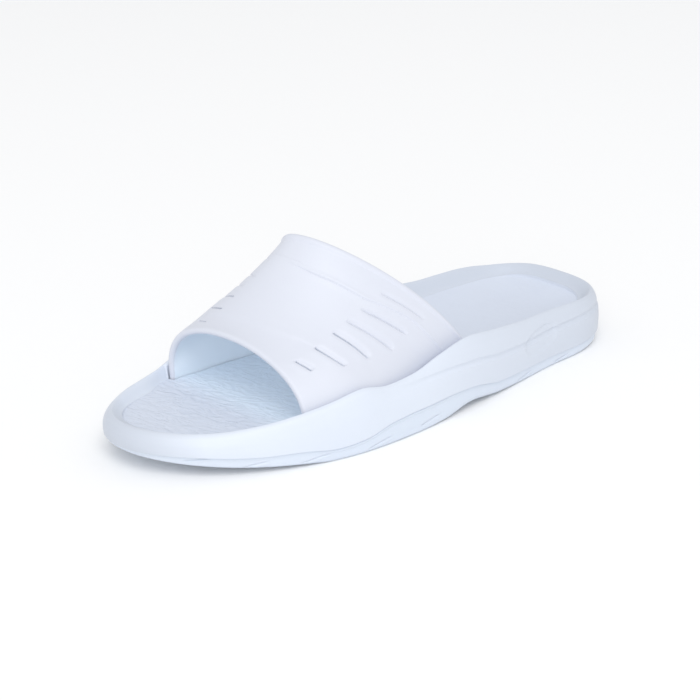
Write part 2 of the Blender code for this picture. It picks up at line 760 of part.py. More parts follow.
def clear_scene():
    for item in list(bpy.data.objects):
        bpy.data.objects.remove(item, do_unlink=True)


def new_collection(name):
    collection = bpy.data.collections.new(name)
    bpy.context.scene.collection.children.link(collection)
    return collection


def foam(name, roughness):
    """Moulded foam in the colour of one piece."""
    material = bpy.data.materials.new(name + "_foam")
    material.use_nodes = True
    shader = material.node_tree.nodes["Principled BSDF"]
    shader.inputs["Base Color"].default_value = COLORS[name]
    shader.inputs["Roughness"].default_value = roughness
    shader.inputs["Metallic"].default_value = 0.0
    return material


def place(mesh, name, collection, roughness):
    item = bpy.data.objects.new(name, mesh)
    item.data.materials.append(foam(name, roughness))
    collection.objects.link(item)
    return item


def cut(item, mesh, collection):
    """Takes a cutter's shape out of a piece."""
    cutter = bpy.data.objects.new(mesh.name, mesh)
    cutter.display_type = "WIRE"
    cutter.hide_render = True
    collection.objects.link(cutter)
    modifier = item.modifiers.new(mesh.name, "BOOLEAN")
    modifier.operation = "DIFFERENCE"
    modifier.solver = "EXACT"
    modifier.object = cutter


def main():
    clear_scene()
    parts = new_collection("slide_sandal")
    cutters = new_collection("cutters")
    outsole = place(outsole_mesh(), "outsole", parts, 0.7)
    cut(outsole, tread_cutter(), cutters)
    place(midsole_mesh(), "midsole", parts, 0.55)
    place(footbed_mesh(), "footbed", parts, 0.65)
    strap = place(strap_mesh(), "strap", parts, 0.5)
    cut(strap, slit_cutter(), cutters)


main()
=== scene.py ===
import bmesh
import bpy
import math
import numpy as np
from mathutils import Matrix


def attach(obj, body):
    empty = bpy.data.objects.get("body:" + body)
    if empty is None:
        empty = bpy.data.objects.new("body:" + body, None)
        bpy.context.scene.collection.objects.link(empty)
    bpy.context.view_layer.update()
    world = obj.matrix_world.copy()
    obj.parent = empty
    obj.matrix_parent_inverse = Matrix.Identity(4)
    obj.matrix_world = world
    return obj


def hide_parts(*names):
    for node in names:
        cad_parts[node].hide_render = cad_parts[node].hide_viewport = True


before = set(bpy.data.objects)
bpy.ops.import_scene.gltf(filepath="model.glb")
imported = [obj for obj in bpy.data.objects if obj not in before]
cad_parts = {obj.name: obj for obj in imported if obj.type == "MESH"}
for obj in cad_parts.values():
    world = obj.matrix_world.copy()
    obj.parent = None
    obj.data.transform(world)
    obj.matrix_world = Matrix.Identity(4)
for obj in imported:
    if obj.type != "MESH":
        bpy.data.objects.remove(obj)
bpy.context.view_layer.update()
print("frame loaded:", sorted(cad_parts))

# the sole's plan and heights, which every piece follows
solePlan = {
    "length": 0.280,
    "ballWidth": 0.111,
    "waistWidth": 0.089,
    "heelWidth": 0.084,
    "waistBend": 0.0095,
    "toeBend": 0.007,
    "heelRound": 0.045,
    "toeRound": 0.098,
    "heelSquare": 2.7,
    "toeSquare": 2.1,
    "widthStations": (0.0, 0.12, 0.40, 0.72, 0.88, 1.0),
    "ballShares": (1.0, 0.973, 0.92),  # of the ball's width, at the last three of them
    "bendStations": (0.0, 0.15, 0.45, 0.75, 1.0),
    "spineStretch": (0.15, 0.80),  # of the middle line, which the rings close in on
    "sideStations": 400,  # points along each side
}

soleHeights = {
    "toeSpring": 0.009,
    "archLift": 0.0035,
    "outsole": 0.0035,
    "foam": 0.010,
    "footbed": 0.004,
    "cup": 0.006,
    "rimRise": 0.015,
    "lip": 0.012,
    "fit": 0.0003,  # gap between pieces
    "legFit": 0.0005,  # gap round the strap's legs
}

# heel back is 0 and toe tip is 1; each column is a share of the height that it is named for
sectionNames = ("station", "spring", "arch", "foam", "cup", "rim", "lip", "groove", "cut")
sectionRows = np.array([
    (0.000, 0.42, 0.00, 0.74, 0.60, 0.27, 0.28, 0.67, 1.0),
    (0.060, 0.14, 0.00, 0.81, 0.62, 0.38, 0.40, 0.66, 1.0),
    (0.150, 0.00, 0.00, 0.94, 0.65, 0.44, 0.43, 0.62, 1.0),
    (0.250, 0.00, 0.00, 0.97, 0.80, 0.46, 0.48, 0.54, 1.0),
    (0.350, 0.00, 0.33, 0.95, 0.97, 0.55, 0.49, 0.51, 1.0),
    (0.430, 0.00, 1.00, 0.87, 1.10, 0.57, 0.63, 0.50, 1.0),
    (0.500, 0.00, 0.20, 0.78, 0.87, 0.72, 0.95, 0.60, 1.0),
    (0.560, 0.00, 0.00, 0.69, 0.63, 0.66, 0.98, 0.74, 0.8),
    (0.620, 0.00, 0.00, 0.62, 0.37, 0.73, 0.90, 0.80, 0.3),
    (0.680, 0.00, 0.00, 0.55, 0.22, 0.99, 0.57, 0.72, 0.0),
    (0.730, 0.00, 0.00, 0.51, 0.17, 0.86, 0.48, 0.65, 0.0),
    (0.785, 0.13, 0.00, 0.48, 0.13, 0.63, 0.53, 0.60, 0.0),
    (0.850, 0.31, 0.00, 0.37, 0.12, 0.41, 0.44, 0.58, 0.0),
    (0.930, 0.62, 0.00, 0.21, 0.07, 0.23, 0.36, 0.58, 0.0),
    (1.000, 1.00, 0.00, 0.12, 0.00, 0.15, 0.15, 0.58, 0.0),
])

# the inner side's rim is lower than the outer side's at the heel and before the leg: stations and shares
innerRimStations = np.array([0.0, 0.03, 0.07, 0.12, 0.17, 0.25, 0.765, 0.80, 0.825, 0.86, 0.92, 1.0])
innerRimShares = np.array([1.0, 0.82, 0.79, 0.92, 1.0, 1.0, 1.0, 0.80, 0.70, 0.72, 0.96, 1.0])

# inward roll of the side: share of the way from sole line to rim, and inset as a share of sideRound
sideRound = 0.009
sideHeights = np.array([0.00, 0.05, 0.22, 0.42, 0.62, 0.85, 0.97, 1.00])
sideInsets = np.array([0.14, 0.05, 0.02, 0.00, 0.03, 0.18, 0.37, 0.50])

strapShape = {
    # front and rear edge: stations of the outer foot, the inner foot and the top, and how square the arch is
    "outer": (0.779, 0.416),
    "inner": (0.802, 0.467),
    "top": (0.783, 0.619),
    "square": (2.00, 2.10),
    "squareInner": (2.25, 2.05),
    "wall": 0.0035,
    "embed": 0.004,
    "archHeight": (0.0339, 0.0697),
    "topShift": (0.0040, 0.0140),
    "rearBow": 0.0038,
    "sag": 0.0049,
    "legInset": (0.0063, 0.0100),
    "tuckStretch": (0.52, 0.63),
    "legDrop": (0.13, 0.60),  # where the rim's inner slope ends beside a leg, as a share of the way to the footbed
    "seatGap": 0.0001,  # between a leg's end and where its seat begins to close
    "seatRun": 0.0008,  # over which it closes
}


# a cubic through knots that never overshoots them: slopes are the harmonic mean of the runs on both sides
def smoothCurve(x, knots, values):
    knots, values = np.asarray(knots, float), np.asarray(values, float)
    run = np.diff(knots)
    rise = np.diff(values) / run
    before, after = rise[:-1], rise[1:]
    same = before * after > 0
    total = np.where(same, before + after, 1.0)
    slope = np.zeros_like(values)
    slope[1:-1] = np.where(same, 2 * before * after / total, 0.0)
    slope[0], slope[-1] = rise[0], rise[-1]
    x = np.clip(np.asarray(x, float), knots[0], knots[-1])
    i = np.clip(np.searchsorted(knots, x, side="right") - 1, 0, len(run) - 1)
    t = (x - knots[i]) / run[i]
    start = (1 + 2 * t) * (1 - t) ** 2 * values[i] + t * (1 - t) ** 2 * run[i] * slope[i]
    end = t * t * (3 - 2 * t) * values[i + 1] + t * t * (t - 1) * run[i] * slope[i + 1]
    return start + end


# 0 below low, 1 above high, 3t^2 - 2t^3 between
def ease(x, low, high):
    t = np.clip((x - low) / (high - low), 0, 1)
    return t * t * (3 - 2 * t)


# a named column of sectionRows, read at a station by the smooth curve
def section(station, name):
    return smoothCurve(station, sectionRows[:, 0], sectionRows[:, sectionNames.index(name)])


# y = length * (0.5 - station), so the heel is at the back and the toe in front
def alongY(station):
    return solePlan["length"] * (0.5 - station)


# station = 0.5 - y / length, held between 0 and 1
def stationAt(y):
    return np.clip(0.5 - y / solePlan["length"], 0.0, 1.0)


# half width = a curve through heel, waist and ball, times a superellipse quarter at each end
def halfWidth(station):
    p = solePlan
    widths = [p["heelWidth"], p["heelWidth"], p["waistWidth"]]
    widths += [share * p["ballWidth"] for share in p["ballShares"]]
    heel = np.clip(1 - station * p["length"] / p["heelRound"], 0, 1)
    toe = np.clip(1 - (1 - station) * p["length"] / p["toeRound"], 0, 1)
    heelEnd = (1 - heel ** p["heelSquare"]) ** (1 / p["heelSquare"])
    toeEnd = (1 - toe ** p["toeSquare"]) ** (1 / p["toeSquare"])
    return 0.5 * smoothCurve(station, p["widthStations"], widths) * heelEnd * toeEnd


# how far the middle line bends sideways: a curve that goes out at the waist and in at the toe
def bendLine(station):
    waist, toe = solePlan["waistBend"], solePlan["toeBend"]
    return smoothCurve(station, solePlan["bendStations"], [0.0, 0.1 * waist, waist, 0.0, -toe])


# middle of the sole's box, from the outermost points of its two sides
evenStations = np.linspace(0, 1, 401)
boxMiddle = 0.5 * ((bendLine(evenStations) + halfWidth(evenStations)).max()
                   + (bendLine(evenStations) - halfWidth(evenStations)).min())


# x of the middle line = its bend, less the middle of the box
def middleX(station):
    return bendLine(station) - boxMiddle


# the outline = middle line + side * half width; side is 1 on the outer side and -1 on the inner side
def outline(station, side):
    return np.stack([middleX(station) + side * halfWidth(station), alongY(station)], axis=-1)


# unit vector square to the outline, from the difference of two near points on it
def inward(station, side):
    station = np.asarray(station, float)
    turn = np.arccos(np.clip(1 - 2 * station, -1, 1))
    step = 1e-4
    before = outline((1 - np.cos(np.clip(turn - step, 0, np.pi))) / 2, side)
    after = outline((1 - np.cos(np.clip(turn + step, 0, np.pi))) / 2, side)
    run = after - before
    vector = np.stack([run[..., 1], -run[..., 0]], axis=-1) * side
    vector = vector / np.maximum(np.linalg.norm(vector, axis=-1, keepdims=True), 1e-12)
    vector[station <= 0] = (0.0, -1.0)
    vector[station >= 1] = (0.0, 1.0)
    return vector


# height of the ground face = toe spring and arch lift, each times its column
def soleLine(station):
    return soleHeights["toeSpring"] * section(station, "spring") + soleHeights["archLift"] * section(station, "arch")


# ground face + the outsole's floor
def trayFloor(station):
    return soleLine(station) + soleHeights["outsole"]


# ground face + the lip's height times its column
def lipTop(station):
    return soleLine(station) + soleHeights["lip"] * section(station, "lip")


# tray's floor + the gap + the foam's height times its column
def pocketFloor(station):
    return trayFloor(station) + soleHeights["fit"] + soleHeights["foam"] * section(station, "foam")


# pocket's floor + the gap + the footbed's thickness
def bedMiddle(station):
    return pocketFloor(station) + soleHeights["fit"] + soleHeights["footbed"]


# the bed's middle + its cup times its column
def bedEdge(station):
    return bedMiddle(station) + soleHeights["cup"] * section(station, "cup")


# the bed's edge + the rim's rise times its column, lower where innerRimShares says so
def rimTop(station, side):
    inner = np.where(np.asarray(side) < 0, smoothCurve(station, innerRimStations, innerRimShares), 1.0)
    return bedEdge(station) + soleHeights["rimRise"] * section(station, "rim") * inner


# inset of the side wall at a height, all round the ring = sideRound times sideInsets, read at the share of the height
def sideInset(z):
    low = soleLine(ringStation)
    share = (z - low) / (rimTop(ringStation, ringSide) - low)
    return sideRound * smoothCurve(share, sideHeights, sideInsets)


# one of strapShape's pairs, mixed straight from the strap's front edge (t = 0) to its rear edge (t = 1)
def strapEdge(t, name):
    front, rear = strapShape[name]
    return front + (rear - front) * t


# inset of a leg's outer face: legInset's front value, moving to its rear value where the leg tucks in behind the ball
def legInset(station):
    share = smoothCurve(station, strapShape["tuckStretch"], [1.0, 0.0])
    front, rear = strapShape["legInset"]
    return front + (rear - front) * share


# 1 where a leg stands and 0 past it, eased over the run of its seat
def inLeg(station, side):
    name = "outer" if side > 0 else "inner"
    rear, front = strapEdge(1.0, name), strapEdge(0.0, name)
    gap, run = (strapShape[key] / solePlan["length"] for key in ("seatGap", "seatRun"))
    return ease(station, rear - gap - run, rear - gap) * (1 - ease(station, front + gap, front + gap + run))


# points round the sole, at even steps of the outline and closer together at the ends of the legs' seats
denseCount = 20001
denseStations = (1 - np.cos(np.linspace(0, np.pi, denseCount))) / 2
denseRuns = [np.linalg.norm(np.diff(outline(denseStations, side), axis=0), axis=1) for side in (1, -1)]
denseArc = np.concatenate([[0.0], np.cumsum(0.5 * (denseRuns[0] + denseRuns[1]))])
stations = np.interp(np.linspace(0, denseArc[-1], solePlan["sideStations"] + 1), denseArc, denseStations)
stations[0], stations[-1] = 0.0, 1.0
legEnds = np.array(strapShape["outer"] + strapShape["inner"])
nearEnds = np.array([0.0001, 0.0004, 0.0007, 0.0011, 0.0016])  # in metres, to both sides of each end
nearEnds = np.concatenate([-nearEnds, nearEnds])
stations = np.sort(np.concatenate([stations, (legEnds[:, None] + nearEnds / solePlan["length"]).ravel()]))
stationCount = len(stations) - 1
ringStation = np.concatenate([stations, stations[-2:0:-1]])
ringSide = np.concatenate([np.full(stationCount + 1, 1), np.full(stationCount - 1, -1)])
ringCount = len(ringStation)


# a function of station and side, read round the ring
def perSide(function):
    outer, inner = function(ringStation, 1), function(ringStation, -1)
    pick = ringSide > 0
    return np.where(pick[:, None] if outer.ndim == 2 else pick, outer, inner)


ringOutline, ringInward = perSide(outline), perSide(inward)
spineStation = np.clip(ringStation, *solePlan["spineStretch"])
ringSpine = np.column_stack([middleX(spineStation), alongY(spineStation)])
ringLeg = perSide(inLeg)


# points = outline + inward * inset, at height z; inset and z may hold many rows
def ringPoints(inset, z):
    inset, z = np.broadcast_arrays(np.asarray(inset, float), np.asarray(z, float))
    inset = np.broadcast_to(inset, inset.shape[:-1] + (ringCount,)) if inset.ndim else np.full(ringCount, inset)
    z = np.broadcast_to(z, inset.shape)
    return np.concatenate([ringOutline + ringInward * inset[..., None], z[..., None]], axis=-1)


# each row of points is drawn back from its corner and replaced by a quadratic curve of a few rows:
# (1 - t)^2 start + 2t(1 - t) corner + t^2 end, where start and end lie at its reach, but not past most of either side
def softRows(rows, reach, steps, most=0.45):
    done = [rows[0]]
    for k in range(1, len(rows) - 1):
        if reach[k] <= 0:
            done.append(rows[k])
            continue
        back, ahead = rows[k - 1] - rows[k], rows[k + 1] - rows[k]
        backLength = np.maximum(np.linalg.norm(back, axis=1, keepdims=True), 1e-9)
        aheadLength = np.maximum(np.linalg.norm(ahead, axis=1, keepdims=True), 1e-9)
        start = rows[k] + back / backLength * np.minimum(reach[k], most * backLength)
        end = rows[k] + ahead / aheadLength * np.minimum(reach[k], most * aheadLength)
        for t in np.linspace(0, 1, steps):
            done.append((1 - t) ** 2 * start + 2 * t * (1 - t) * rows[k] + t * t * end)
    done.append(rows[-1])
    return np.array(done)


# quads between neighbours of a grid of rows and columns, its last column joined to its first
def gridFaces(rowCount, columnCount):
    columns = np.arange(columnCount)
    low = np.arange(rowCount - 1)[:, None] * columnCount
    a, b = low + columns, low + (columns + 1) % columnCount
    return np.stack([a, b, b + columnCount, a + columnCount], axis=-1).reshape(-1, 4)


# strips across a ring, from each point of one side to the same station's point on the other
def stripFaces(first):
    i = np.arange(1, stationCount - 1)
    quads = np.stack([i, i + 1, ringCount - i - 1, ringCount - i], axis=-1) + first
    heel = [first, first + 1, first + ringCount - 1]
    toe = [first + stationCount - 1, first + stationCount, first + stationCount + 1]
    return quads.tolist() + [heel, toe]


# a piece from points and faces, its faces turned outwards, with the mask of painted light as an attribute where it is
# given
def makePiece(name, points, faces, material, paintedLightMask=None):
    mesh = bpy.data.meshes.new(name)
    mesh.from_pydata(points.tolist(), [], faces)
    if paintedLightMask is not None:
        mesh.attributes.new("paintedLightMask", "FLOAT", "POINT").data.foreach_set("value", paintedLightMask.ravel())
    build = bmesh.new()
    build.from_mesh(mesh)
    bmesh.ops.recalc_face_normals(build, faces=build.faces)
    build.to_mesh(mesh)
    build.free()
    mesh.shade_smooth()
    mesh.materials.append(material)
    piece = bpy.data.objects.new(name, mesh)
    bpy.context.scene.collection.objects.link(piece)
    print(name, "made:", len(mesh.vertices), "points,", len(mesh.polygons), "faces")
    return piece


# a closed body from rows of rings, with strips across its first and its last ring
def ringBody(name, rows, material, paintedLightMask=None):
    faces = gridFaces(len(rows), ringCount).tolist()
    faces += stripFaces(0) + stripFaces((len(rows) - 1) * ringCount)
    return makePiece(name, rows.reshape(-1, 3), faces, material, paintedLightMask)


innermost = 0.012  # share of the way out at which the strips across the middle begin


# rings from an edge ring in to the spine: place = spine + (edge - spine) * share
def inwardRows(edge, shares):
    shares = np.asarray(shares)[:, None, None]
    return ringSpine + (edge[:, :2] - ringSpine) * shares


# wraps one output socket; the operators add Math nodes, node() adds any other
class Wire:
    def __init__(self, tree, socket=None):
        self.tree, self.socket = tree, socket

    def node(self, kind, settings=None, sockets=None, out=0):
        made = self.tree.nodes.new(kind)
        for name, value in (settings or {}).items():
            setattr(made, name, value)
        for key, value in (sockets or {}).items():
            if isinstance(value, Wire):
                self.tree.links.new(value.socket, made.inputs[key])
            else:
                made.inputs[key].default_value = value
        return Wire(self.tree, made.outputs[out])

    def math(self, operation, *values):
        return self.node("ShaderNodeMath", {"operation": operation}, dict(enumerate(values)))

    def __add__(self, other): return self.math("ADD", self, other)
    def __radd__(self, other): return self.math("ADD", other, self)
    def __sub__(self, other): return self.math("SUBTRACT", self, other)
    def __rsub__(self, other): return self.math("SUBTRACT", other, self)
    def __mul__(self, other): return self.math("MULTIPLY", self, other)
    def __rmul__(self, other): return self.math("MULTIPLY", other, self)

    # this wire as the share between two colours
    def mixColor(self, low, high):
        return self.node("ShaderNodeMix", {"data_type": "RGBA"}, {0: self, 6: low, 7: high}, out=2)

    # noise on this wire's coordinates
    def noise(self, scale, detail, roughness, distortion=0.0):
        return self.node("ShaderNodeTexNoise", None, {
            "Vector": self, "Scale": scale, "Detail": detail, "Roughness": roughness, "Distortion": distortion})

    # 0 where this wire is at start and 1 where it is at end, or low and high
    def spread(self, start, end, low=0.0, high=1.0):
        return self.node("ShaderNodeMapRange", None, {
            "Value": self, "From Min": start, "From Max": end, "To Min": low, "To Max": high})


# pale and shade mottle the foam at random. under is painted light: a paler, bluer colour on the strap's inner face
# and on the bed under it, in place of the light that reaches them; ends is painted shade: how much of the shade
# colour is left at toe tip and heel back, which are darkened in place of the lesser light there; both were chosen so
# that the tones follow the photo
foamFinish = {
    "outsole": {"pale": (0.70, 0.76, 0.85), "shade": (0.66, 0.72, 0.82), "rough": 0.55, "grain": 0.20},
    "midsole": {"pale": (0.72, 0.77, 0.855), "shade": (0.69, 0.74, 0.835), "rough": 0.45, "grain": 0.12,
                "ends": 0.83, "paintedShadeStretches": ((-0.010, 0.150), (-0.118, -0.139))},
    "footbed": {"pale": (0.69, 0.74, 0.84), "shade": (0.64, 0.69, 0.80), "rough": 0.52, "grain": 0.30,
                "under": (0.80, 0.89, 0.99), "strokes": 0.0010},
    "strap": {"pale": (0.70, 0.725, 0.80), "shade": (0.68, 0.705, 0.79), "rough": 0.45, "grain": 0.12,
              "under": (0.84, 0.92, 1.0)},
}

foamGrain = {
    "cloud": (28.0, 3.0, 0.55),  # scale, detail and roughness of the broad mottling
    "mottle": (160.0, 3.0, 0.6),
    "fine": (2600.0, 2.0, 0.6),
    "poreScale": 1400.0,
    "poreHeight": 0.0001,
    "cloudHeight": 0.0004,
    "colorShares": (0.7, 0.5, -0.1),  # of cloud and mottle in the mix of pale and shade, and what is added
    "roughShares": (0.12, 0.08),  # of mottle and fine in the roughness
    "ior": 1.45,
    "sheen": 0.08,
}

# short uneven ridges that run across the bed, turned a little towards the heel
bedStrokes = {
    "turn": -18.4,  # degrees
    "scale": (105.0, 215.0, 0.0),  # along and across a ridge, per metre
    "wander": 1.7,
    "fade": (0.020, -0.020),  # y where they are weak, and y where they are full
    "heelShare": 0.12,
}


# satin foam: soft mottling in the colour, painted light and painted shade where the finish gives them, a skin of fine
# pores in the bump and gloss that wanders a little
def foamMaterial(name):
    finish = foamFinish[name]
    material = bpy.data.materials.new(name + "Foam")
    material.use_nodes = True
    tree = material.node_tree
    shader = tree.nodes["Principled BSDF"]
    start = Wire(tree)
    coords = start.node("ShaderNodeTexCoord", out="Object")
    along = start.node("ShaderNodeSeparateXYZ", None, {"Vector": coords}, out="Y")
    cloud, mottle, fine = (coords.noise(*foamGrain[key]) for key in ("cloud", "mottle", "fine"))
    pores = start.node("ShaderNodeTexVoronoi", {"feature": "F1"}, {"Vector": coords, "Scale": foamGrain["poreScale"]})
    ofCloud, ofMottle, added = foamGrain["colorShares"]
    share = cloud * ofCloud + mottle * ofMottle + added
    color = share.mixColor((*finish["shade"], 1.0), (*finish["pale"], 1.0))
    # painted light: where the mask is 1 the colour moves to the paler, bluer under colour, on the strap's inner face
    # and the bed under the strap, in place of the light that reaches them
    if "under" in finish:
        paintedLightMask = start.node("ShaderNodeAttribute", {"attribute_name": "paintedLightMask"}, out="Fac")
        color = paintedLightMask.mixColor(color, (*finish["under"], 1.0))
    # painted shade: the midsole's colour darkens towards the heel and again at the toe tip, in place of the lesser
    # light that falls there
    for near, far in finish.get("paintedShadeStretches", ()):
        color = along.spread(near, far).mixColor(color, (*(finish["ends"] * c for c in finish["shade"]), 1.0))
    tree.links.new(color.socket, shader.inputs["Base Color"])
    ofMottle, ofFine = foamGrain["roughShares"]
    rough = finish["rough"] + (mottle - 0.5) * ofMottle + (fine - 0.5) * ofFine
    tree.links.new(rough.socket, shader.inputs["Roughness"])
    height = (pores * 0.5 + fine * 0.5) * foamGrain["poreHeight"] + cloud * foamGrain["cloudHeight"]
    if "strokes" in finish:
        b = bedStrokes
        turned = start.node("ShaderNodeMapping", None, {
            "Vector": coords, "Rotation": (0.0, 0.0, math.radians(b["turn"]))})
        bent = start.node("ShaderNodeVectorMath", {"operation": "MULTIPLY"}, {0: turned, 1: b["scale"]})
        strokes = bent.noise(1.0, 1.0, 0.4, b["wander"]) * along.spread(*b["fade"], b["heelShare"], 1.0)
        height = height + strokes * (finish["strokes"] / finish["grain"])
    bump = start.node("ShaderNodeBump", None, {"Strength": finish["grain"], "Distance": 1.0, "Height": height})
    tree.links.new(bump.socket, shader.inputs["Normal"])
    shader.inputs["IOR"].default_value = foamGrain["ior"]
    shader.inputs["Sheen Weight"].default_value = foamGrain["sheen"]
    return material


# outsole: underside with waved bars, side up to the lip, and the tray inside
outsoleShape = {
    "lipWidth": 0.0025,
    "lipRecess": 0.001,
    "trayInset": 0.009,
    "barPitch": 0.032,
    "grooveWidth": 0.0032,
    "grooveDepth": 0.0018,
    "grooveEdge": (0.0005, 0.0004),  # how far its edge is rounded inside and outside its width
    "treadEnds": (0.80, 0.95),  # shares of the way out over which the grooves run out
    "waveHeight": 0.0035,
    "waveLength": 0.030,
    # slanting cuts of the side: station and height of the front end and of the rear end
    "slashes": (
        (0.950, 0.0082, 0.915, 0.0100),
        (0.875, 0.0040, 0.838, 0.0058),
        (0.792, 0.0020, 0.736, 0.0046),
        (0.672, 0.0014, 0.620, 0.0042),
        (0.560, 0.0030, 0.512, 0.0052),
        (0.300, 0.0016, 0.256, 0.0034),
        (0.190, 0.0012, 0.148, 0.0030),
    ),
    "slashWidth": 0.00030,
    "slashDepth": 0.0006,
    "slashBend": 0.85,
    "slashFade": ((-0.05, 0.12), (0.80, 1.05)),
    "lensShare": 0.30,  # of the slash's depth
    "lensBelow": 0.0009,
    "lensWidth": 0.0006,
    "lensStretch": (0.25, 0.6),
    "beadRise": 0.0006,  # of the lip's bead at the waist
    "beadWidth": 0.0007,
    "beadStretch": ((0.44, 0.52), (0.70, 0.78)),
    "softEdges": (0.0003, 0.0005),  # of the lip, outside and inside
    "sideRows": 30,
    "floorRows": 70,
}


# depth of the tread's grooves = depth where the distance to the nearest waved bar line is under half the width
def treadDepth(x, y):
    shape = outsoleShape
    length = solePlan["length"]
    count = int(length / shape["barPitch"])
    first = 0.5 * (length - (count - 1) * shape["barPitch"])
    wave = shape["waveHeight"] * np.sin(2 * np.pi * x / shape["waveLength"])
    place = (0.5 * length - first - (y - wave)) / shape["barPitch"]
    near = np.abs(place - np.clip(np.round(place), 0, count - 1)) * shape["barPitch"]
    half = 0.5 * shape["grooveWidth"]
    inside, outside = shape["grooveEdge"]
    return shape["grooveDepth"] * (1 - ease(near, half - inside, half + outside))


# slanting cuts of the side: a valley along each line from low in front to high behind, with a raised lens below it
def slashDepth(station, z):
    shape = outsoleShape
    total = np.zeros(np.broadcast_shapes(station.shape, z.shape))
    start, end = shape["slashFade"]
    for front, frontZ, rear, rearZ in shape["slashes"]:
        along = (front - station) / (front - rear)
        line = frontZ + (rearZ - frontZ) * np.clip(along, 0, 1) ** shape["slashBend"]
        fade = ease(along, *start) * (1 - ease(along, *end))
        valley = np.exp(-((z - line) / shape["slashWidth"]) ** 2)
        lens = np.exp(-((z - line + shape["lensBelow"]) / shape["lensWidth"]) ** 2)
        lens = lens * ease(along, *shape["lensStretch"])
        total = total + fade * (valley - shape["lensShare"] * lens)
    return shape["slashDepth"] * total


# rows from the middle of the underside out to the ground ring, up the side with its slashes and bead, over the lip
# and down to the tray's floor
def outsoleBody():
    shape = outsoleShape
    low, lip = soleLine(ringStation), lipTop(ringStation)
    ground = ringPoints(shape["lipRecess"] + sideInset(low), low)
    shares = np.concatenate([[innermost], np.linspace(0.03, 0.99, shape["floorRows"])])
    plan = inwardRows(ground, shares)
    level = soleLine(stationAt(plan[..., 1]))
    tread = treadDepth(plan[..., 0], plan[..., 1]) * (1 - ease(shares[:, None], *shape["treadEnds"]))
    under = np.concatenate([plan, (level + tread)[..., None]], axis=-1)
    share = np.linspace(0.02, 1.0, shape["sideRows"])[:, None]
    sideZ = low + share * (lip - low)
    slash = slashDepth(ringStation, sideZ)
    rear, front = shape["beadStretch"]
    waist = ease(ringStation, *rear) * (1 - ease(ringStation, *front))
    bead = shape["beadRise"] * waist * np.exp(-((lip - sideZ - shape["beadWidth"]) / shape["beadWidth"]) ** 2)
    side = ringPoints(shape["lipRecess"] + sideInset(sideZ) + slash - bead, sideZ)
    lean = shape["trayInset"] - shape["lipRecess"] - shape["lipWidth"] - sideInset(lip)
    inner = shape["lipRecess"] + sideInset(lip) + shape["lipWidth"]
    tray = ringPoints(inner + np.maximum(lean, shape["lipWidth"]), trayFloor(ringStation))
    rows = np.concatenate([under, side, ringPoints(inner, lip)[None], tray[None]])
    reach = np.zeros(len(rows))
    reach[len(under) + len(side) - 1], reach[-2] = shape["softEdges"]
    return ringBody("outsoleTray", softRows(rows, reach, 4), foamMaterial("outsole"))


# midsole: seat, side wall with its groove and bare recess, rolled rim, inner slope and pocket
midsoleShape = {
    "grooveDepth": 0.0008,
    "grooveWidth": 0.0030,
    "rimInset": 0.0045,
    "pocketInset": (0.011, 0.0088),  # along the sole, and round the toe
    "toeStretch": (0.86, 0.96),  # stations over which it changes
    "beforeLeg": 0.0035,  # how much less it is just before the inner leg
    "beforeStretch": (0.815, 0.880),
    "legMiddle": 0.65,  # a station between the leg's ends
    "tuckGap": 0.0012,  # how far the rim stands off a leg that is tucked in behind it
    "recessPlace": (0.236, 0.0178),  # station and height of the bare recess on the outer heel quarter
    "recessSize": (0.0135, 0.0060),  # half length and half height
    "recessTilt": -8.0,  # degrees
    "recessDepth": 0.0007,
    "recessPower": 2.6,
    "recessEdge": (0.82, 1.04),
    "grooveSpan": 1.3,  # half widths of the groove over which its rows lie
    "grooveHalf": 1.15,  # half widths over which it is cut
    "groovePower": 1.3,
    "rimEase": (-0.12, 1.12),
    "legSlopePower": 2.2,  # of the rim's inner slope beside a leg
    "softEdges": (0.0002, 0.0003, 0.0010, 0.00005),  # of the ledge, the wall's foot, the rim and the pocket's edge
    "lowRows": 12,
    "grooveRows": 14,
    "highRows": 18,
    "slopeRows": 16,
}


# inset of the pocket = its value along the sole, moving to the toe's, less a little just before the inner leg
def pocketInset():
    shape = midsoleShape
    along, toe = shape["pocketInset"]
    ahead = (ringStation > shape["legMiddle"]) * (ringSide < 0)
    beforeLeg = (1 - ease(ringStation, *shape["beforeStretch"])) * ahead
    return along + (toe - along) * ease(ringStation, *shape["toeStretch"]) - shape["beforeLeg"] * beforeLeg


# bare oval: depth where (u/a)^power + (v/b)^power is under 1, u and v along the side and up it, turned by the tilt
def recessDepth(station, z):
    shape = midsoleShape
    tilt = math.radians(shape["recessTilt"])
    u = (station - shape["recessPlace"][0]) * solePlan["length"]
    v = z - shape["recessPlace"][1]
    a = (u * math.cos(tilt) + v * math.sin(tilt)) / shape["recessSize"][0]
    b = (v * math.cos(tilt) - u * math.sin(tilt)) / shape["recessSize"][1]
    power = shape["recessPower"]
    far = (np.abs(a) ** power + np.abs(b) ** power) ** (1 / power)
    return shape["recessDepth"] * (1 - ease(far, *shape["recessEdge"])) * (ringSide > 0)


